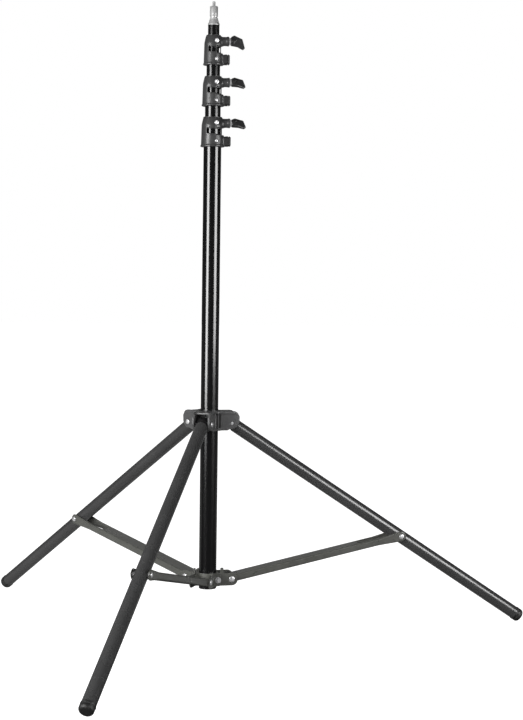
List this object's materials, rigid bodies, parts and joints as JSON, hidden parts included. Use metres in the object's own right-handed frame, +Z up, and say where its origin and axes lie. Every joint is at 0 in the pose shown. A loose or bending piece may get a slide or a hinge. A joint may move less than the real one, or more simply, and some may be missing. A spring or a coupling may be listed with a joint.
{
  "type": "lighting stand",
  "caption": "Telescopic lighting stand: tubular column with clamp collars and a stud on top, standing on a folding braced tripod.",
  "frame": {"origin": "on the floor, under the axis of the column", "axes": "+Z up along the column; the front leg points along -Y, the right leg 30 degrees and the left leg 150 degrees round from +X"},
  "size_m": [1.18, 1.0257, 1.2508],
  "materials": {
    "leg_paint": null,
    "tube_anodised": null,
    "steel_paint": null,
    "cast_paint": null,
    "bright_steel": null,
    "rubber": null,
    "black_plastic": null
  },
  "bodies": {
    "base": {"base_tube": "tube_anodised", "base_end_plug": "black_plastic", "lower_hub_core": "cast_paint", "lower_hub_plate_back": "steel_paint", "lower_hub_plate_front_left": "steel_paint", "lower_hub_plate_front_right": "steel_paint", "lower_hub_bolts": "bright_steel", "brace_pivot_pins": "bright_steel", "lower_collar_body": "cast_paint", "lower_collar_liner": "black_plastic", "lower_collar_screws": "bright_steel", "lower_collar_bumper": "rubber"},
    "riser_1": {"riser_1_tube": "tube_anodised", "riser_1_piston": "black_plastic", "middle_collar_body": "cast_paint", "middle_collar_liner": "black_plastic", "middle_collar_screws": "bright_steel", "middle_collar_bumper": "rubber"},
    "riser_2": {"riser_2_tube": "tube_anodised", "riser_2_piston": "black_plastic", "upper_collar_body": "cast_paint", "upper_collar_liner": "black_plastic", "upper_collar_screws": "bright_steel", "upper_collar_bumper": "rubber"},
    "riser_3": {"riser_3_tube": "tube_anodised", "riser_3_piston": "black_plastic", "spigot": "bright_steel"},
    "hub": {"upper_hub": "cast_paint", "upper_hub_liner": "black_plastic", "leg_pivot_pins": "bright_steel"},
    "hub_knob": {"hub_lock_screw": "bright_steel", "hub_lock_knob": "black_plastic"},
    "hub_pad": {"hub_lock_pad": "black_plastic"},
    "lower_lever": {"lower_wing_screw": "bright_steel", "lower_wing_lever": "cast_paint"},
    "lower_pad": {"lower_brake_pad": "black_plastic"},
    "middle_lever": {"middle_wing_screw": "bright_steel", "middle_wing_lever": "cast_paint"},
    "middle_pad": {"middle_brake_pad": "black_plastic"},
    "upper_lever": {"upper_wing_screw": "bright_steel", "upper_wing_lever": "cast_paint"},
    "upper_pad": {"upper_brake_pad": "black_plastic"},
    "right_leg": {"right_leg_tube": "leg_paint", "right_leg_insert": "black_plastic", "right_leg_rivet_bush": "bright_steel", "right_leg_foot": "rubber"},
    "right_brace": {"right_brace_channel": "steel_paint", "right_brace_rivets": "bright_steel"},
    "left_leg": {"left_leg_tube": "leg_paint", "left_leg_insert": "black_plastic", "left_leg_rivet_bush": "bright_steel", "left_leg_foot": "rubber"},
    "left_brace": {"left_brace_channel": "steel_paint", "left_brace_rivets": "bright_steel"},
    "front_leg": {"front_leg_tube": "leg_paint", "front_leg_insert": "black_plastic", "front_leg_rivet_bush": "bright_steel", "front_leg_foot": "rubber"},
    "front_brace": {"front_brace_channel": "steel_paint", "front_brace_rivets": "bright_steel"}
  },
  "joints": [
    {"name": "riser_1_slide", "type": "slide", "parent": "base", "child": "riser_1", "axis": [0, 0, 1], "range_m": [0, 0.8]},
    {"name": "riser_2_slide", "type": "slide", "parent": "riser_1", "child": "riser_2", "axis": [0, 0, 1], "range_m": [0, 0.795]},
    {"name": "riser_3_slide", "type": "slide", "parent": "riser_2", "child": "riser_3", "axis": [0, 0, 1], "range_m": [0, 0.8]},
    {"name": "lower_lever_turn", "type": "hinge", "parent": "base", "child": "lower_lever", "pos_m": [0.03261, 0.00997, 1.0138], "axis": [0.9563, 0.2924, 0], "range_deg": [0, 180]},
    {"name": "lower_pad_slide", "type": "slide", "parent": "base", "child": "lower_pad", "axis": [0.9563, 0.2924, 0], "range_m": [0, 0.00064]},
    {"name": "middle_lever_turn", "type": "hinge", "parent": "riser_1", "child": "middle_lever", "pos_m": [0.03108, 0.0095, 1.0933], "axis": [0.9563, 0.2924, 0], "range_deg": [0, 180]},
    {"name": "middle_pad_slide", "type": "slide", "parent": "riser_1", "child": "middle_pad", "axis": [0.9563, 0.2924, 0], "range_m": [0, 0.00064]},
    {"name": "upper_lever_turn", "type": "hinge", "parent": "riser_2", "child": "upper_lever", "pos_m": [0.02917, 0.00892, 1.1733], "axis": [0.9563, 0.2924, 0], "range_deg": [0, 180]},
    {"name": "upper_pad_slide", "type": "slide", "parent": "riser_2", "child": "upper_pad", "axis": [0.9563, 0.2924, 0], "range_m": [0, 0.00064]},
    {"name": "hub_slide", "type": "slide", "parent": "base", "child": "hub", "axis": [0, 0, 1], "range_m": [0, 0.48135]},
    {"name": "right_leg_fold", "type": "hinge", "parent": "hub", "child": "right_leg", "pos_m": [0.03741, 0.0216, 0.42311], "axis": [-0.5, 0.866, 0], "range_deg": [0, 53.65]},
    {"name": "right_brace_fold", "type": "hinge", "parent": "base", "child": "right_brace", "pos_m": [0.0388, 0.0224, 0.11205], "axis": [0.5, -0.866, 0], "range_deg": [0, 74.82]},
    {"name": "left_leg_fold", "type": "hinge", "parent": "hub", "child": "left_leg", "pos_m": [-0.03741, 0.0216, 0.42311], "axis": [-0.5, -0.866, 0], "range_deg": [0, 53.65]},
    {"name": "left_brace_fold", "type": "hinge", "parent": "base", "child": "left_brace", "pos_m": [-0.0388, 0.0224, 0.11205], "axis": [0.5, 0.866, 0], "range_deg": [0, 74.82]},
    {"name": "front_leg_fold", "type": "hinge", "parent": "hub", "child": "front_leg", "pos_m": [0, -0.0432, 0.42311], "axis": [1, 0, 0], "range_deg": [0, 53.65]},
    {"name": "front_brace_fold", "type": "hinge", "parent": "base", "child": "front_brace", "pos_m": [0, -0.0448, 0.11205], "axis": [-1, 0, 0], "range_deg": [0, 74.82]},
    {"name": "hub_knob_turn", "type": "hinge", "parent": "hub", "child": "hub_knob", "pos_m": [0, 0.04, 0.42311], "axis": [0, 1, 0], "range_deg": [0, 180]},
    {"name": "hub_pad_slide", "type": "slide", "parent": "hub", "child": "hub_pad", "axis": [0, 1, 0], "range_m": [0, 0.00064]}
  ],
  "couplings": [
    {"joint": "lower_pad_slide", "follows": "lower_lever_turn", "m_per_rad": 0.0001989},
    {"joint": "middle_pad_slide", "follows": "middle_lever_turn", "m_per_rad": 0.0001989},
    {"joint": "upper_pad_slide", "follows": "upper_lever_turn", "m_per_rad": 0.0001989},
    {"joint": "right_leg_fold", "follows": "hub_slide", "rad_per_m": 1.9453},
    {"joint": "right_brace_fold", "follows": "hub_slide", "rad_per_m": 2.7127},
    {"joint": "left_leg_fold", "follows": "hub_slide", "rad_per_m": 1.9453},
    {"joint": "left_brace_fold", "follows": "hub_slide", "rad_per_m": 2.7127},
    {"joint": "front_leg_fold", "follows": "hub_slide", "rad_per_m": 1.9453},
    {"joint": "front_brace_fold", "follows": "hub_slide", "rad_per_m": 2.7127},
    {"joint": "hub_pad_slide", "follows": "hub_knob_turn", "m_per_rad": 0.0001989}
  ]
}
